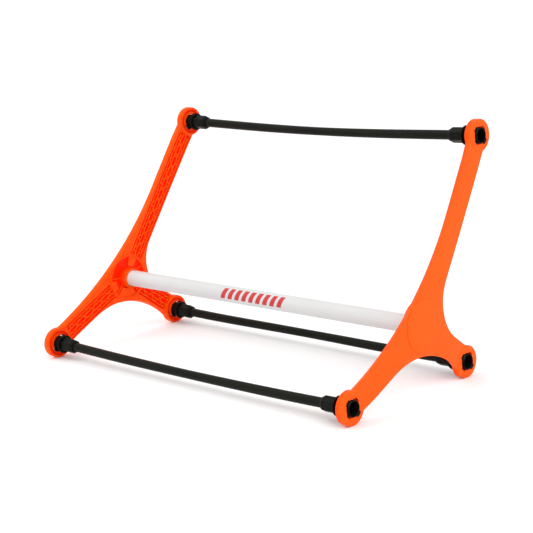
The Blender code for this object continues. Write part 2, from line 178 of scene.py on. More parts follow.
# Painted shade of the moulding, darker and redder deeper in: 0 outside, 1 on the inner face, and
# these on ribs and recess floors
RIB_PAINTED_SHADE = 0.5
FLOOR_PAINTED_SHADE = 2.0
PAINTED_SHADE_EDGE = 0.0012  # how far down an edge the inner face's painted shade goes
GROOVE_EDGE = 0.0004  # how far down a boss's groove starts to count as a recess
TOUCH = 0.0001  # how far off a recess a point may be and still count as in it

# Shading: the sharpest turn that is still smooth, in degrees
CREASE = 40.0
COUPLER_CREASE = 20.0
LARGE_FACE_WEIGHT = 80


# Where things are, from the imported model


def joint(side, tip):
    name = f"{side}_{tip}_lock"
    return next(j for j in frame["joints"] if j["name"] == name)


def tip_point(side, tip):
    """The point where a boss's axis meets its outer face."""
    return Vector(joint(side, tip)["pos_m"])


def inward():
    """The left plate's inward normal."""
    return -Vector(joint("left", "top")["axis"]).normalized()


def plate_matrix(origin):
    """From the left plate's own frame to the row frame."""
    x = inward()
    y = Vector((0.0, 1.0, 0.0))
    z = x.cross(y)
    turn = Matrix((x, y, z)).transposed().to_4x4()
    return Matrix.Translation(origin) @ turn


def hub_point():
    """The point of the left hub's axis in the plane of the bosses' outer faces."""
    low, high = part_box("centre_tube")
    middle = (low + high) / 2
    x = inward()
    up = x.cross(Vector((0.0, 1.0, 0.0)))
    tip = tip_point("left", "top")
    seat_depth = (HUB_FLOOR + SOCKET_TOP) / 2 - BOW
    height = (middle.z - tip.z - x.z * seat_depth) / up.z
    point = tip + up * height
    point.y = middle.y
    return point


HUB = hub_point()
TO_ROW = plate_matrix(HUB)
OFFSETS = {}
for tip_name in TIPS:
    local = TO_ROW.inverted() @ tip_point("left", tip_name)
    OFFSETS[tip_name] = Vector((local.y, local.z))


# Meshes


def new_object(name, bm):
    bmesh.ops.recalc_face_normals(bm, faces=bm.faces)
    mesh = bpy.data.meshes.new(name)
    bm.to_mesh(mesh)
    bm.free()
    made = bpy.data.objects.new(name, mesh)
    bpy.context.scene.collection.objects.link(made)
    return made


def combine(base, tool, operation):
    """Joins, cuts or intersects base with tool, and removes the tool."""
    modifier = base.modifiers.new(operation.lower(), "BOOLEAN")
    modifier.operation = operation
    modifier.solver = "EXACT"
    modifier.object = tool
    bpy.context.view_layer.update()
    evaluated = base.evaluated_get(bpy.context.evaluated_depsgraph_get())
    result = bpy.data.meshes.new_from_object(evaluated)
    base.modifiers.remove(modifier)
    base.data = result
    bpy.data.objects.remove(tool, do_unlink=True)


def loft(sections, closed=False):
    """A solid through (depth, outline) sections, or a ring of sections joined end to end."""
    bm = bmesh.new()
    loops = []
    for depth, outline in sections:
        loops.append([bm.verts.new((depth, p[0], p[1])) for p in outline])
    if not closed:
        bm.faces.new(loops[0])
        bm.faces.new(loops[-1])
    pairs = list(zip(loops, loops[1:]))
    if closed:
        pairs.append((loops[-1], loops[0]))
    count = len(loops[0])
    for lower, upper in pairs:
        for i in range(count):
            j = (i + 1) % count
            bm.faces.new((lower[i], lower[j], upper[j], upper[i]))
    return new_object("loft", bm)


def quarter_round(radius):
    """Steps round an edge, as (distance past the face, inset from the side)."""
    steps = []
    for i in range(ROUND_STEPS + 1):
        angle = math.pi / 2 * i / ROUND_STEPS
        steps.append((radius * (1.0 - math.cos(angle)), radius * (1.0 - math.sin(angle))))
    return steps


def rounded(start, end, outline, start_round=0.0, end_round=0.0):
    """A solid between two depths, its edges rounded; outline(inset) gives its section."""
    sections = []
    if start_round:
        sections += [(start + past, outline(inset)) for past, inset in quarter_round(start_round)]
    else:
        sections.append((start, outline(0.0)))
    if end_round:
        back = [(end - past, outline(inset)) for past, inset in quarter_round(end_round)]
        sections += back[::-1]
    else:
        sections.append((end, outline(0.0)))
    return loft(sections)


def hollow(floor, surface, outline, floor_round, edge_round):
    """A cutter with a rounded floor that flares where it meets the surface."""
    sections = [(floor + past, outline(inset)) for past, inset in quarter_round(floor_round)]
    for past, inset in reversed(quarter_round(edge_round)):
        sections.append((surface - past, outline(inset - edge_round)))
    sections.append((surface + FLARE_PAST, outline(-edge_round)))
    return loft(sections)


def heading(angle):
    return Vector((math.cos(angle), math.sin(angle)))


def left_of(direction):
    return Vector((-direction.y, direction.x))


def circle(centre, radius, sides):
    """Points round a circle, starting half a side past straight down."""
    step = 2.0 * math.pi / sides
    start = -math.pi / 2 + step / 2
    corner = radius / math.cos(step / 2)
    return [centre + heading(start + i * step) * corner for i in range(sides)]


def disc(centre, radius, start, end, sides, start_round=0.0, end_round=0.0):
    return rounded(
        start, end, lambda inset: circle(centre, radius - inset, sides), start_round, end_round
    )


def box_outline(centre, length, width, angle):
    along = heading(angle)
    across = left_of(along)

    def outline(inset):
        half_length = along * (length / 2 - inset)
        half_width = across * (width / 2 - inset)
        return [
            centre - half_length - half_width,
            centre + half_length - half_width,
            centre + half_length + half_width,
            centre - half_length + half_width,
        ]

    return outline


# The outline of the plate


def crossing(point_a, direction_a, point_b, direction_b):
    """Where two lines of the plane meet."""
    between = point_b - point_a
    along = between.cross(direction_b) / direction_a.cross(direction_b)
    return point_a + direction_a * along


def arc(centre, radius, start, end, steps):
    """Points from one direction to another round a centre, the short way."""
    first = math.atan2(start.y, start.x)
    turn = math.atan2(end.y, end.x) - first
    turn = (turn + math.pi) % (2.0 * math.pi) - math.pi
    return [centre + radius * heading(first + turn * i / steps) for i in range(steps + 1)]


def hollow_edge(start, start_heading, end, end_heading, radius, steps):
    """A straight edge, a hollow arc and a straight edge, with the plate on the right.

    Where the arc is long enough to reach the start, it takes the first straight edge's place.
    """
    start_out = left_of(start_heading)
    end_out = left_of(end_heading)
    middle_start = start + start_out * radius
    middle_end = end + end_out * radius
    centre = crossing(middle_start, start_heading, middle_end, end_heading)
    if (centre - start).dot(start_heading) > 0.0:
        return [start, *arc(centre, radius, -start_out, -end_out, steps), end]
    return [*arc(centre, radius, start - centre, -end_out, steps), end]


def edge_point(tip, edge, inset):
    angle, distance = edge
    direction = heading(angle)
    return OFFSETS[tip] + left_of(direction) * (distance - inset), direction


def lower_edge(inset):
    """The hollow arc from the rear tip and the straight run to the front tip."""
    angle, distance = LOWER_EDGE_AT_FRONT_TIP
    along = heading(angle)
    out = -left_of(along)
    foot = OFFSETS["front"] + out * (distance - inset)
    radius = LOWER_EDGE_RADIUS + inset
    on_line = foot + out * radius
    to_tip = OFFSETS["rear"] - on_line
    reach = radius + LOWER_EDGE_FROM_REAR_TIP - inset
    middle = to_tip.dot(along)
    half_chord = math.sqrt(middle**2 - to_tip.length_squared + reach**2)
    centre = on_line + along * (middle - half_chord)
    return [*arc(centre, radius, OFFSETS["rear"] - centre, -out, LOWER_EDGE_STEPS), foot]


def plate_outline(inset):
    front, front_heading = edge_point("front", FRONT_EDGE_AT_FRONT_TIP, inset)
    top, top_heading = edge_point("top", FRONT_EDGE_AT_TOP_TIP, inset)
    rear_angle, rear_distance = REAR_EDGE_AT_TOP_TIP
    down = -heading(rear_angle)
    top_rear = OFFSETS["top"] + left_of(down) * (rear_distance - inset)
    rear, rear_heading = edge_point("rear", REAR_EDGE_AT_REAR_TIP, inset)
    radius = FRONT_EDGE_RADIUS + inset
    points = hollow_edge(front, front_heading, top, top_heading, radius, FRONT_EDGE_STEPS)
    radius = REAR_EDGE_RADIUS + inset
    points += hollow_edge(top_rear, down, rear, rear_heading, radius, REAR_EDGE_STEPS)
    return points + lower_edge(inset)


# The plate


def arm_line(tip):
    """From the hub: an arm's heading and the two ends of its channel."""
    end = OFFSETS[tip]
    along = end.normalized()
    first = along * (HUB_RIM_RADII[1] + CHANNEL_END_GAP)
    last = end - along * (BOSS_RADIUS + CHANNEL_END_GAP)
    return along, first, last


def zigzag(tip, start):
    """Corners of a rib that zigzags across an arm's channel from the side called start."""
    along, _, last = arm_line(tip)
    count = math.ceil((last.length - ZIGZAG_START[tip]) / ZIGZAG_STEP)
    corners = []
    for i in range(count + 1):
        side = -start if i % 2 else start
        middle = along * (ZIGZAG_START[tip] + ZIGZAG_STEP * i)
        corners.append(middle + left_of(along) * (side * LONG_RIBS[-1]))
    return corners


def ribbon(path, width):
    """The outline of a strip of even width along a zigzag path."""
    left = []
    right = []
    for i, point in enumerate(path):
        before = (point - path[i - 1]).normalized() if i else None
        after = (path[i + 1] - point).normalized() if i + 1 < len(path) else before
        before = before or after
        across = (left_of(before) + left_of(after)).normalized()
        reach = width / 2 / across.dot(left_of(after))
        left.append(point + across * reach)
        right.append(point - across * reach)
    return left + right[::-1]


def add_channel(plate, tip):
    """The channel along an arm, with its long ribs and two crossing zigzag ribs."""
    along, first, last = arm_line(tip)
    middle = (first + last) / 2
    length = (last - first).length
    angle = math.atan2(along.y, along.x)
    channel = box_outline(middle, length, CHANNEL_WIDTH, angle)
    cutter = hollow(CHANNEL_FLOOR, WEB_BACK, channel, FINE_ROUND, FINE_ROUND)
    combine(plate, cutter, "DIFFERENCE")
    root = CHANNEL_FLOOR - RIB_ROOT
    for offset in LONG_RIBS:
        centre = middle + left_of(along) * offset
        rib = box_outline(centre, length + 2 * CHANNEL_END_GAP, RIB_WIDTH, angle)
        combine(plate, rounded(root, RIB_TOP, rib, 0.0, RIB_ROUND), "UNION")
    for start, top in ZIGZAG_TOPS:
        path = zigzag(tip, start)
        strip = rounded(
            root, top, lambda inset: ribbon(path, RIB_WIDTH - 2 * inset), 0.0, RIB_ROUND
        )
        combine(plate, strip, "UNION")


def sector_outline(start, end, inner, outer):
    """Outlines of a ring's sector, its angles in degrees."""
    middle = Vector((0.0, 0.0))

    def outline(inset):
        turn = inset / ((inner + outer) / 2)
        first = heading(math.radians(start) + turn)
        last = heading(math.radians(end) - turn)
        outside = arc(middle, outer - inset, first, last, SECTOR_STEPS)
        return outside + arc(middle, inner + inset, last, first, SECTOR_STEPS)

    return outline


def add_dish(plate):
    """The hub's raised outer disc, and its dish with a rim."""
    middle = Vector((0.0, 0.0))
    inner_edge = WEB_FACE + PAST
    raised = disc(middle, HUB_RADIUS, HUB_FACE, inner_edge, HUB_SIDES, HUB_ROUND)
    combine(plate, raised, "UNION")
    rim = disc(
        middle, HUB_RIM_RADII[1], HUB_RIM_ROOT, HUB_RIM, HUB_SIDES, 0.0, HUB_RIM_ROUND
    )
    combine(plate, rim, "UNION")
    dish = hollow(
        HUB_FLOOR,
        HUB_RIM,
        lambda inset: circle(middle, HUB_RIM_RADII[0] - inset, HUB_SIDES),
        *DISH_ROUNDS,
    )
    combine(plate, dish, "DIFFERENCE")


def add_pads_and_spokes(plate):
    """Raised pads and radial spokes between the socket and the dish's rim."""
    root = HUB_FLOOR - PAD_ROOT
    inner = SOCKET_BORE + SOCKET_WALL / 2
    outer = sum(HUB_RIM_RADII) / 2
    for start, end, pad_inner in PADS:
        pad = sector_outline(start, end, pad_inner, outer)
        combine(plate, rounded(root, PAD_TOP, pad, 0.0, PAD_ROUND), "UNION")
    for degrees in SPOKE_ANGLES:
        angle = math.radians(degrees)
        centre = heading(angle) * (inner + outer) / 2
        spoke = box_outline(centre, outer - inner, SPOKE_WIDTH, angle)
        combine(plate, rounded(root, SPOKE_TOP, spoke, 0.0, SPOKE_ROUND), "UNION")


def add_socket(plate):
    """The sleeve in the middle of the dish that holds the tube."""
    middle = Vector((0.0, 0.0))
    root = HUB_FLOOR - PAD_ROOT
    radius = SOCKET_BORE + SOCKET_WALL
    socket = disc(middle, radius, root, SOCKET_TOP, HUB_SIDES, 0.0, HUB_RIM_ROUND)
    combine(plate, socket, "UNION")
    hole = hollow(
        HUB_FLOOR,
        SOCKET_TOP,
        lambda inset: circle(middle, SOCKET_BORE - inset, HUB_SIDES),
        FINE_ROUND,
        FINE_ROUND,
    )
    combine(plate, hole, "DIFFERENCE")


def ring_cutter(centre, inner, outer, floor, surface, edge):
    """A groove's cutter: a ring with a rounded floor that flares at the surface."""
    floor_round = quarter_round(GROOVE_ROUND)
    flare = quarter_round(edge)
    profile = [(floor + past, outer - inset) for past, inset in floor_round]
    profile += [(surface - past, outer - inset + edge) for past, inset in flare[::-1]]
    profile.append((surface + FLARE_PAST, outer + edge))
    profile.append((surface + FLARE_PAST, inner - edge))
    profile += [(surface - past, inner + inset - edge) for past, inset in flare]
    profile += [(floor + past, inner + inset) for past, inset in floor_round[::-1]]
    sections = [(depth, circle(centre, radius, BOSS_SIDES)) for depth, radius in profile]
    return loft(sections, closed=True)


def lobe(centre, angle, start, end):
    """A pair of opposite lobes across a boss hole."""
    outline = box_outline(centre, 3 * LOBE_REACH, LOBE_WIDTH, angle)
    box = loft([(start, outline(0.0)), (end, outline(0.0))])
    tips = disc(centre, LOBE_REACH, start - PAST, end + PAST, BOSS_SIDES)
    combine(box, tips, "INTERSECT")
    return box


def add_boss(plate, tip):
    """A boss: a rim and a collar with a groove between, and a hole with four lobes."""
    centre = OFFSETS[tip]
    boss = disc(centre, BOSS_RADIUS, 0.0, BOSS_DEPTH, BOSS_SIDES, *BOSS_ROUNDS)
    combine(plate, boss, "UNION")
    groove = ring_cutter(centre, *GROOVE_RADII, GROOVE_FLOOR, BOSS_DEPTH, FINE_ROUND)
    combine(plate, groove, "DIFFERENCE")
    over = BOSS_DEPTH + PAST
    hole = disc(centre, HOLE_RADIUS, -PAST, over, BOSS_SIDES)
    combine(hole, lobe(centre, THROUGH_LOBE, -PAST, over), "UNION")
    combine(hole, lobe(centre, SEAT_LOBE, -PAST, SEAT_DEPTH), "UNION")
    combine(plate, hole, "DIFFERENCE")
    flare = [(depth, circle(centre, HOLE_RADIUS + wider, BOSS_SIDES)) for depth, wider in MOUTH]
    combine(plate, loft(flare), "DIFFERENCE")


def bow_shape():
    """Coefficients of the form in y and z that is 1 at all three tips and 0 at the hub."""
    rows = [(p.x**2, p.y**2, p.x * p.y) for p in OFFSETS.values()]
    return Matrix(rows).inverted() @ Vector((1.0, 1.0, 1.0))


def painted_shade_of(depth, point):
    """The painted shade of a point, from how deep it is in the moulding: darker deeper in."""
    if not in_recess(depth, point):
        return 0.0 if depth < WEB_BACK - PAINTED_SHADE_EDGE else 1.0
    rim = RIB_TOP if point.length > HUB_RADIUS else SPOKE_TOP
    floor = CHANNEL_FLOOR if point.length > HUB_RADIUS else HUB_FLOOR
    share = min(max((rim - depth) / (rim - floor), 0.0), 1.0)
    return RIB_PAINTED_SHADE + (FLOOR_PAINTED_SHADE - RIB_PAINTED_SHADE) * share


def in_groove(depth, reach):
    """Whether a point at this reach from a boss's axis is in the boss's groove."""
    inner, outer = GROOVE_RADII
    return inner - TOUCH < reach < outer + TOUCH and depth < BOSS_DEPTH - GROOVE_EDGE


def in_recess(depth, point):
    """Whether a point is inside a channel, the hub's dish or a boss's groove."""
    if depth < CHANNEL_FLOOR - TOUCH:
        return False
    if point.length < HUB_RIM_RADII[0] + TOUCH:
        return depth > HUB_FLOOR - TOUCH
    for tip in TIPS:
        reach = (point - OFFSETS[tip]).length
        if reach < BOSS_RADIUS + GAP:
            return in_groove(depth, reach)
        along, first, last = arm_line(tip)
        if first.length < point.dot(along) < last.length:
            if abs(point.dot(left_of(along))) < CHANNEL_WIDTH / 2 + TOUCH:
                return True
    return False


def cut_across(bm, point, normal):
    """New edges where a plane crosses the mesh."""
    everything = bm.verts[:] + bm.edges[:] + bm.faces[:]
    bmesh.ops.bisect_plane(
        bm, geom=everything, dist=CUT_TOLERANCE, plane_co=point, plane_no=normal
    )


def bow(plate):
    """Bows the plate outwards between its bosses, after keeping each point's painted shade."""
    shape = bow_shape()
    bm = bmesh.new()
    bm.from_mesh(plate.data)
    bmesh.ops.remove_doubles(bm, verts=bm.verts, dist=MERGE_DISTANCE)
    bmesh.ops.dissolve_limit(bm, angle_limit=FLAT_ANGLE, verts=bm.verts, edges=bm.edges)
    for normal in (Vector((0.0, 1.0, 0.0)), Vector((0.0, 0.0, 1.0))):
        for i in CUTS:
            cut_across(bm, normal * (CUT_SPACING * i), normal)
    bmesh.ops.triangulate(bm, faces=bm.faces)
    # painted shade for the material: darker and redder on the inner face and deeper in the
    # recesses
    painted_shade = bm.verts.layers.float.new("painted_shade")
    for vertex in bm.verts:
        x, y, z = vertex.co
        vertex[painted_shade] = painted_shade_of(x, Vector((y, z)))
        form = shape.x * y * y + shape.y * z * z + shape.z * y * z
        clear = min((Vector((y, z)) - p).length for p in OFFSETS.values()) - BOSS_RADIUS
        t = min(max(clear / BOW_BLEND, 0.0), 1.0)
        vertex.co.x -= BOW * (1.0 - form) * t * t * (3.0 - 2.0 * t)
    bm.to_mesh(plate.data)
    bm.free()


def finish_shading(thing, angle=CREASE):
    """Smooth shading whose normals follow the large faces."""
    thing.data.shade_smooth()
    thing.data.set_sharp_from_angle(angle=math.radians(angle))
    weighted = thing.modifiers.new("weighted_normals", "WEIGHTED_NORMAL")
    weighted.keep_sharp = True
    weighted.weight = LARGE_FACE_WEIGHT


def web():
    """The web of the plate: its sides slope in and its edges are rounded."""
    outer = quarter_round(EDGE_ROUND)
    sections = [(WEB_FACE + past, plate_outline(inset)) for past, inset in outer]
    for past, inset in outer[::-1]:
        sections.append((WEB_BACK - past, plate_outline(SIDE_SLOPE + inset)))
    return loft(sections)


def build_plate():
    plate = web()
    for tip in TIPS:
        add_channel(plate, tip)
    add_dish(plate)
    add_pads_and_spokes(plate)
    add_socket(plate)
    for tip in TIPS:
        add_boss(plate, tip)
    bow(plate)
    return plate


# The couplers


def round_section(radius):
    return circle(Vector((0.0, 0.0)), radius, COUPLER_SIDES)


def hexagon_section(radius):
    """A hexagon standing on a corner, its corners turned down a little."""
    flat = radius * math.cos(math.pi / 6)
    points = []
    for point in round_section(radius):
        angle = math.atan2(point.y, point.x)
        off_flat = (angle + math.pi / 6) % (math.pi / 3) - math.pi / 6
        reach = min(flat / math.cos(off_flat), radius * HEX_CORNER_SHARE)
        points.append(heading(angle) * reach)
    return points


def tabs(angle, start, end):
    """A pair of opposite tabs on a coupler, with rounded edges."""
    middle = Vector((0.0, 0.0))
    outline = box_outline(middle, TAB_BLANK, TAB_WIDTH, angle)
    pair = rounded(start, end, outline, FINE_ROUND, FINE_ROUND)
    tip = disc(middle, TAB_REACH, start - 0.0002, end + 0.0002, COUPLER_SIDES)
    combine(pair, tip, "INTERSECT")
    return pair


def coupler_sections():
    """Sections along a coupler: spigot, neck, flange, groove, hexagon and tapered end."""
    edge = COUPLER_ROUND
    return [
        (SPIGOT_END, round_section(SPIGOT_RADIUS - 0.0006)),
        (SPIGOT_END + 0.0002, round_section(SPIGOT_RADIUS - 0.0002)),
        (SPIGOT_END + 0.0006, round_section(SPIGOT_RADIUS)),
        (FLANGE_START - 0.0012, round_section(SPIGOT_RADIUS)),
        (FLANGE_START - 0.0010, round_section(NECK_RADIUS)),
        (FLANGE_START, round_section(NECK_RADIUS)),
        (FLANGE_START, round_section(FLANGE_RADIUS - edge)),
        (FLANGE_START + edge / 3, round_section(FLANGE_RADIUS - edge / 3)),
        (FLANGE_START + edge, round_section(FLANGE_RADIUS)),
        (FLANGE_END - edge, round_section(FLANGE_RADIUS)),
        (FLANGE_END - edge / 3, round_section(FLANGE_RADIUS - edge / 3)),
        (FLANGE_END, round_section(FLANGE_RADIUS - edge)),
        (FLANGE_END, round_section(GROOVE_RADIUS)),
        (HEX_START, round_section(GROOVE_RADIUS)),
        (HEX_START, hexagon_section(HEX_RADIUS - edge)),
        (HEX_START + edge, hexagon_section(HEX_RADIUS)),
        (TAPER_START - edge, hexagon_section(HEX_RADIUS)),
        (TAPER_START, hexagon_section(HEX_RADIUS - edge / 2)),
        (COUPLER_END - edge, round_section(TAPER_END_RADIUS + 0.0002)),
        (COUPLER_END, round_section(TAPER_END_RADIUS - 0.0002)),
    ]


def build_coupler():
    """The left couplers' shape about their joint's axis."""
    body = loft(coupler_sections())
    combine(body, tabs(SEAT_LOBE, SPIGOT_END, -TAB_GAP), "UNION")
    combine(body, tabs(THROUGH_LOBE, BOSS_DEPTH + GAP, WING_END), "UNION")
    bore = loft(
        [
            (SPIGOT_END - PAST, round_section(SPIGOT_BORE + COUPLER_ROUND)),
            (SPIGOT_END, round_section(SPIGOT_BORE + COUPLER_ROUND)),
            (SPIGOT_END + COUPLER_ROUND, round_section(SPIGOT_BORE)),
            (SPIGOT_BORE_DEPTH, round_section(SPIGOT_BORE)),
        ]
    )
    combine(body, bore, "DIFFERENCE")
    middle = Vector((0.0, 0.0))
    past_end = COUPLER_END + PAST
    socket = disc(middle, BAR_RADIUS + GAP, SOCKET_FLOOR, past_end, COUPLER_SIDES)
    combine(body, socket, "DIFFERENCE")
    return body


# Bars and tube


def bar_path(tip):
    """Points along a bar, from inside the left coupler to inside the right one."""
    x = inward()
    start = tip_point("left", tip)
    left = [start + x * (SOCKET_FLOOR + GAP), start + x * COUPLER_END]
    right = [Vector((-p.x, p.y, p.z)) for p in left]
    length = right[1].x - left[1].x
    slope = -x.z / x.x
    straight_sag = slope * length / 4
    points = [left[0]]
    for i in range(BAR_STEPS + 1):
        t = i / BAR_STEPS
        rise = 4.0 * t * (1.0 - t)
        drop = straight_sag * rise + (SAG[tip] - straight_sag) * rise**2
        points.append(left[1].lerp(right[1], t) - Vector((0.0, 0.0, drop)))
    return [*points, right[0]]


def bar_loop(bm, behind, point, ahead, radius):
    """A ring of vertices round a point of a bar."""
    along = (ahead - behind).normalized()
    side = Vector((0.0, 1.0, 0.0))
    up = along.cross(side).normalized()
    step = 2.0 * math.pi / BAR_SIDES
    loop = []
    for k in range(BAR_SIDES):
        offset = side * math.cos(k * step) + up * math.sin(k * step)
        loop.append(bm.verts.new(point + offset * radius))
    return loop


def build_bar(tip):
    """A flexible bar, a little thinner in the middle."""
    path = bar_path(tip)
    half = path[-1].x
    narrow = BAR_MIDDLE_RADIUS / BAR_RADIUS
    bm = bmesh.new()
    loops = []
    for i, point in enumerate(path):
        ahead = path[min(i + 1, len(path) - 1)]
        behind = path[max(i - 1, 0)]
        share = min(1.0, narrow + (1.0 - narrow) * abs(point.x) / half * BAR_FLARE)
        loops.append(bar_loop(bm, behind, point, ahead, BAR_RADIUS * share))
    bm.faces.new(loops[0])
    bm.faces.new(loops[-1])
    for lower, upper in zip(loops, loops[1:]):
        for k in range(BAR_SIDES):
            n = (k + 1) % BAR_SIDES
            bm.faces.new((lower[k], lower[n], upper[n], upper[k]))
    return new_object("bar", bm)


def build_tube():
    """The tube: a hollow one with rounded rims, about the middle of its CAD box."""
    low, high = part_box("centre_tube")
    half = (high.x - low.x) / 2
    rim = TUBE_RIM_ROUND
    outer = TUBE_RADIUS
    inner = TUBE_RADIUS - TUBE_WALL
    profile = [(-half, inner + rim), (-half, outer - rim), (-half + rim, outer)]
    for i in range(1, TUBE_STEPS):
        profile.append((-half + rim + (2 * half - 2 * rim) * i / TUBE_STEPS, outer))
    profile += [(half - rim, outer), (half, outer - rim), (half, inner + rim), (half - rim, inner)]
    profile.append((-half + rim, inner))
    middle = Vector((0.0, 0.0))
    made = loft([(x, circle(middle, radius, HUB_SIDES)) for x, radius in profile], closed=True)
    made.data.transform(Matrix.Translation((low + high) / 2))
    return made


# Materials


class Shade:
    """A material's node tree, with short calls for the nodes used here."""

    def __init__(self, name):
        self.material = bpy.data.materials.new(name)
        self.material.use_nodes = True
        self.tree = self.material.node_tree
        self.shader = self.tree.nodes["Principled BSDF"]

    def node(self, kind, **values):
        made = self.tree.nodes.new(kind)
        for name, value in values.items():
            setattr(made, name, value)
        return made

    def join(self, source, target):
        self.tree.links.new(source, target)

    def fixed(self, **values):
        for name, value in values.items():
            self.shader.inputs[name.replace("_", " ")].default_value = value

    def place(self, scale=(1.0, 1.0, 1.0)):
        """Object coordinates, stretched by a scale."""
        source = self.node("ShaderNodeTexCoord")
        mapping = self.node("ShaderNodeMapping")
        mapping.inputs["Scale"].default_value = scale
        self.join(source.outputs["Object"], mapping.inputs["Vector"])
        return mapping.outputs["Vector"]

    def noise(self, vector, scale, detail=3.0, roughness=0.5):
        made = self.node("ShaderNodeTexNoise")
        made.inputs["Scale"].default_value = scale
        made.inputs["Detail"].default_value = detail
        made.inputs["Roughness"].default_value = roughness
        self.join(vector, made.inputs["Vector"])
        return made.outputs["Fac"]

    def span(self, value, low, high, to_low=0.0, to_high=1.0):
        """Maps a range of values to another, and clamps it."""
        made = self.node("ShaderNodeMapRange")
        made.inputs["From Min"].default_value = low
        made.inputs["From Max"].default_value = high
        made.inputs["To Min"].default_value = to_low
        made.inputs["To Max"].default_value = to_high
        self.join(value, made.inputs["Value"])
        return made.outputs["Result"]

    def mix(self, factor, first, second):
        """Mixes two colours, each a colour or a node's output."""
        made = self.node("ShaderNodeMix", data_type="RGBA")
        self.join(factor, made.inputs["Factor"])
        for value, socket in ((first, made.inputs[6]), (second, made.inputs[7])):
            if isinstance(value, tuple):
                socket.default_value = (*value, 1.0)
            else:
                self.join(value, socket)
        return made.outputs[2]

    def maths(self, operation, first, second):
        made = self.node("ShaderNodeMath", operation=operation)
        for value, socket in ((first, made.inputs[0]), (second, made.inputs[1])):
            if isinstance(value, (int, float)):
                socket.default_value = value
            else:
                self.join(value, socket)
        return made.outputs[0]

    def bumps(self, *layers):
        """Bumps on top of each other: each is a height, a strength and a depth in metres."""
        normal = None
        for height, strength, distance in layers:
            made = self.node("ShaderNodeBump")
            made.inputs["Strength"].default_value = strength
            made.inputs["Distance"].default_value = distance
            self.join(height, made.inputs["Height"])
            if normal:
                self.join(normal, made.inputs["Normal"])
            normal = made.outputs["Normal"]
        self.join(normal, self.shader.inputs["Normal"])


def orange_plastic():
    """Satin moulded orange with faint flow marks, and painted shade: deeper and redder on the
    inner face and in the recesses.
    """
    s = Shade("moulded_orange")
    s.fixed(Metallic=0.0, IOR=1.46, Specular_IOR_Level=0.08)
    s.fixed(Subsurface_Weight=0.35, Subsurface_Scale=0.005)
    s.fixed(Subsurface_Radius=(1.0, 0.10, 0.02))
    vector = s.place()
    # painted shade: 0 on the outer faces, 1 on the inner face, up to 2 on recess floors
    painted_shade = s.node("ShaderNodeAttribute", attribute_name="painted_shade").outputs["Fac"]
    # the outer colour, then painted shade: darker on the inner face, darkest and reddest in the
    # recesses
    outside = (0.97, 0.100, 0.004)
    inner_face_shade = (0.97, 0.068, 0.001)
    recess_shade = (1.0, 0.016, 0.0)
    inner = s.mix(s.span(painted_shade, 1.0, 2.0), inner_face_shade, recess_shade)
    base = s.mix(s.span(painted_shade, 0.0, 1.0), outside, inner)
    flow = s.noise(s.place((1.0, 0.6, 0.25)), 26.0, 4.0, 0.55)
    clouds = s.span(flow, 0.35, 0.75, 0.0, 0.14)
    base = s.mix(clouds, base, (0.88, 0.050, 0.0))
    scuffs = s.noise(s.place((1.0, 1.0, 0.12)), 240.0, 2.0, 0.6)
    scuffed = s.span(scuffs, 0.70, 0.82, 0.0, 0.08)
    base = s.mix(scuffed, base, (1.0, 0.25, 0.05))
    s.join(base, s.shader.inputs["Base Color"])
    grain = s.noise(vector, 1500.0, 2.0, 0.6)
    s.join(s.span(s.noise(vector, 60.0), 0.3, 0.7, 0.36, 0.47), s.shader.inputs["Roughness"])
    s.bumps((grain, 0.10, 0.0002), (flow, 0.05, 0.001))
    return s.material


def black_plastic():
    """Satin black of the couplers, with fine grain and pale rub marks."""
    s = Shade("moulded_black")
    s.fixed(Metallic=0.0, IOR=1.46, Specular_IOR_Level=0.08)
    vector = s.place()
    clouds = s.noise(vector, 90.0, 4.0, 0.6)
    base = s.mix(s.span(clouds, 0.3, 0.7), (0.0028, 0.0030, 0.0023), (0.0066, 0.0069, 0.0054))
    rubs = s.noise(s.place((0.25, 1.0, 1.0)), 420.0, 2.0, 0.6)
    base = s.mix(s.span(rubs, 0.66, 0.80, 0.0, 0.30), base, (0.040, 0.041, 0.034))
    s.join(base, s.shader.inputs["Base Color"])
    s.join(s.span(clouds, 0.3, 0.7, 0.34, 0.50), s.shader.inputs["Roughness"])
    s.bumps((s.noise(vector, 1400.0, 2.0), 0.12, 0.0002))
    return s.material


def black_bar():
    """Extruded black rod: streaks along it, and faint rings of uneven drawing."""
    s = Shade("extruded_black")
    s.fixed(Metallic=0.0, IOR=1.47, Specular_IOR_Level=0.09)
    streaks = s.noise(s.place((0.02, 1.0, 1.0)), 900.0, 3.0, 0.6)
    patches = s.noise(s.place((0.3, 1.0, 1.0)), 40.0, 3.0)
    base = s.mix(s.span(streaks, 0.3, 0.7), (0.0034, 0.0036, 0.0024), (0.0086, 0.0090, 0.0064))
    base = s.mix(s.span(patches, 0.45, 0.75, 0.0, 0.45), base, (0.0124, 0.0128, 0.0094))
    s.join(base, s.shader.inputs["Base Color"])
    s.join(s.span(patches, 0.3, 0.7, 0.36, 0.52), s.shader.inputs["Roughness"])
    s.bumps((streaks, 0.16, 0.0002), (patches, 0.05, 0.001))
    return s.material


STRIPE_MIDDLE = -0.004  # along the tube
STRIPE_SPAN = 0.1125
STRIPE_HEIGHT = 0.0150
STRIPE_PITCH = 0.0125
STRIPE_SHARE = 0.62  # of the pitch that is printed
STRIPE_SLANT = 0.40
STRIPE_SOFTNESS = 0.0002
STRIPE_TURN = math.radians(20.0)


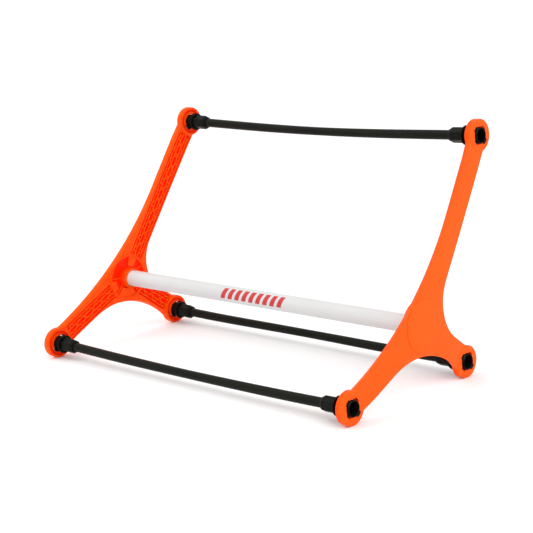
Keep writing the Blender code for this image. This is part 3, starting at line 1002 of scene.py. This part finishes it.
def stripe_mask(s, centre):
    """Where the tube's row of plain slanted bars is printed."""
    place = s.node("ShaderNodeSeparateXYZ")
    source = s.node("ShaderNodeTexCoord")
    s.join(source.outputs["Object"], place.inputs[0])
    y = s.maths("SUBTRACT", place.outputs["Y"], centre.y)
    z = s.maths("SUBTRACT", place.outputs["Z"], centre.z)
    angle = s.maths("ARCTAN2", z, s.maths("MULTIPLY", y, -1.0))
    around = s.maths("MULTIPLY", s.maths("SUBTRACT", angle, STRIPE_TURN), TUBE_RADIUS)
    along = s.maths("SUBTRACT", place.outputs["X"], STRIPE_MIDDLE)
    slanted = s.maths("SUBTRACT", along, s.maths("MULTIPLY", around, STRIPE_SLANT))
    phase = s.maths("PINGPONG", slanted, STRIPE_PITCH / 2)
    soft = STRIPE_SOFTNESS
    half_bar = STRIPE_PITCH * STRIPE_SHARE / 2
    bars = s.span(phase, half_bar - soft, half_bar + soft, 1.0, 0.0)
    within = s.maths("ABSOLUTE", slanted, 0.0)
    inside = s.span(within, STRIPE_SPAN / 2 - soft, STRIPE_SPAN / 2 + soft, 1.0, 0.0)
    off = s.maths("ABSOLUTE", around, 0.0)
    tall = s.span(off, STRIPE_HEIGHT / 2 - soft, STRIPE_HEIGHT / 2 + soft, 1.0, 0.0)
    return s.maths("MULTIPLY", s.maths("MULTIPLY", bars, inside), tall)


def white_tube(centre):
    """Smooth white tube with faint drawn lines and a printed row of plain red bars."""
    s = Shade("white_tube_paint")
    s.fixed(Metallic=0.0, IOR=1.5, Specular_IOR_Level=0.2)
    lines = s.noise(s.place((0.02, 1.0, 1.0)), 700.0, 3.0, 0.6)
    smudges = s.noise(s.place((0.4, 1.0, 1.0)), 34.0, 4.0, 0.6)
    base = s.mix(s.span(lines, 0.3, 0.7), (0.58, 0.58, 0.58), (0.63, 0.63, 0.625))
    base = s.mix(s.span(smudges, 0.5, 0.8, 0.0, 0.3), base, (0.52, 0.52, 0.515))
    ink = s.span(s.noise(s.place(), 900.0, 2.0), 0.3, 0.7, 0.88, 1.0)
    mask = s.maths("MULTIPLY", stripe_mask(s, centre), ink)
    base = s.mix(mask, base, (0.50, 0.007, 0.007))
    s.join(base, s.shader.inputs["Base Color"])
    s.join(s.span(smudges, 0.3, 0.7, 0.30, 0.42), s.shader.inputs["Roughness"])
    s.bumps((lines, 0.04, 0.0002), (smudges, 0.03, 0.001))
    return s.material


# Putting the pieces in place


def placed(name, source, matrix, mirrored):
    """A copy of a left-hand shape in the row frame, mirrored for the right-hand side."""
    mesh = source.data.copy()
    mesh.transform(matrix)
    if mirrored:
        mesh.transform(Matrix.Scale(-1.0, 4, (1.0, 0.0, 0.0)))
        mesh.flip_normals()
    made = bpy.data.objects.new(name, mesh)
    bpy.context.scene.collection.objects.link(made)
    return made


def dress(thing, material, body, node):
    thing.data.materials.clear()
    thing.data.materials.append(material)
    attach(thing, body)
    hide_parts(node)


def add_plates():
    orange = orange_plastic()
    plate = build_plate()
    for side in ("left", "right"):
        made = placed(f"{side}_moulded_plate", plate, TO_ROW, side == "right")
        finish_shading(made)
        dress(made, orange, "frame", f"{side}_plate")
    bpy.data.objects.remove(plate, do_unlink=True)


def add_couplers():
    black = black_plastic()
    coupler = build_coupler()
    for side in ("left", "right"):
        for tip in TIPS:
            matrix = plate_matrix(tip_point("left", tip))
            made = placed(f"{side}_{tip}_turned_coupler", coupler, matrix, side == "right")
            finish_shading(made, COUPLER_CREASE)
            node = f"{side}_{tip}_coupler"
            dress(made, black, node, node)
    bpy.data.objects.remove(coupler, do_unlink=True)


def add_bars():
    rod = black_bar()
    for tip in TIPS:
        made = build_bar(tip)
        made.name = f"{tip}_flexible_bar"
        finish_shading(made)
        dress(made, rod, "frame", f"{tip}_bar")


def add_tube():
    low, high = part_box("centre_tube")
    made = build_tube()
    made.name = "printed_centre_tube"
    finish_shading(made)
    dress(made, white_tube((low + high) / 2), "frame", "centre_tube")


# The studio

WORLD_STRENGTH = 1.04
SUN_STRENGTH = 0.45
SUN_SPREAD = math.radians(35.0)
SUN_TURN = (math.radians(40.0), 0.0, math.radians(62.0))
AREA_LIGHTS = (  # name, place, aim, size and watts
    ("key", (-0.9, -1.6, 2.2), (0.0, 0.0, 0.1), 1.4, 16.0),
    ("side", (2.4, -0.2, 1.2), (0.0, 0.0, 0.12), 1.6, 10.0),
)
CAMERA_AZIMUTH = math.radians(44.009)
CAMERA_ELEVATION = math.radians(12.227)
CAMERA_ROLL = math.radians(3.387)
CAMERA_PLACE = (1.2325, -1.2603, 0.5083)
CAMERA_LENS = 94.87
SENSOR_WIDTH = 36.0
FLOOR_HALF = 60.0


def floor_material():
    """Pale matte floor with a very faint mottle."""
    s = Shade("pale_floor")
    s.fixed(Roughness=0.85)
    mottle = s.noise(s.place(), 3.0, 3.0)
    base = s.mix(s.span(mottle, 0.3, 0.7), (0.93, 0.93, 0.93), (0.95, 0.95, 0.95))
    s.join(base, s.shader.inputs["Base Color"])
    return s.material


def add_floor():
    bm = bmesh.new()
    bmesh.ops.create_grid(bm, x_segments=4, y_segments=4, size=FLOOR_HALF)
    floor = new_object("studio_floor", bm)
    floor.data.materials.append(floor_material())


def add_light(name, place, aim, size, watts):
    lamp = bpy.data.lights.new(name, "AREA")
    lamp.shape = "SQUARE"
    lamp.size = size
    lamp.energy = watts
    made = bpy.data.objects.new(name, lamp)
    made.location = place
    made.rotation_euler = (Vector(aim) - Vector(place)).to_track_quat("-Z", "Y").to_euler()
    bpy.context.scene.collection.objects.link(made)


def add_sun():
    """Broad soft light, even over the whole floor."""
    lamp = bpy.data.lights.new("soft_sun", "SUN")
    lamp.energy = SUN_STRENGTH
    lamp.angle = SUN_SPREAD
    made = bpy.data.objects.new("soft_sun", lamp)
    made.rotation_euler = SUN_TURN
    bpy.context.scene.collection.objects.link(made)


def add_world():
    world = bpy.data.worlds.new("white_studio")
    world.use_nodes = True
    background = world.node_tree.nodes["Background"]
    background.inputs["Color"].default_value = (1.0, 1.0, 1.0, 1.0)
    background.inputs["Strength"].default_value = WORLD_STRENGTH
    bpy.context.scene.world = world


def add_camera():
    """The camera: in front and to the right, a little above, and rolled a little."""
    data = bpy.data.cameras.new("camera")
    data.lens = CAMERA_LENS
    data.sensor_width = SENSOR_WIDTH
    level = math.cos(CAMERA_ELEVATION)
    ahead = Vector((-math.sin(CAMERA_AZIMUTH), math.cos(CAMERA_AZIMUTH), 0.0)) * level
    ahead.z = -math.sin(CAMERA_ELEVATION)
    right = Vector((math.cos(CAMERA_AZIMUTH), math.sin(CAMERA_AZIMUTH), 0.0))
    up = right.cross(ahead)
    across = right * math.cos(CAMERA_ROLL) - up * math.sin(CAMERA_ROLL)
    upright = right * math.sin(CAMERA_ROLL) + up * math.cos(CAMERA_ROLL)
    camera = bpy.data.objects.new("camera", data)
    turn = Matrix((across, upright, -ahead)).transposed().to_4x4()
    camera.matrix_world = Matrix.Translation(CAMERA_PLACE) @ turn
    bpy.context.scene.collection.objects.link(camera)
    bpy.context.scene.camera = camera


def add_studio():
    add_floor()
    add_world()
    add_sun()
    for values in AREA_LIGHTS:
        add_light(*values)
    add_camera()
    settings = bpy.context.scene.view_settings
    settings.view_transform = "Standard"
    settings.look = "None"


add_plates()
add_couplers()
add_bars()
add_tube()
add_studio()
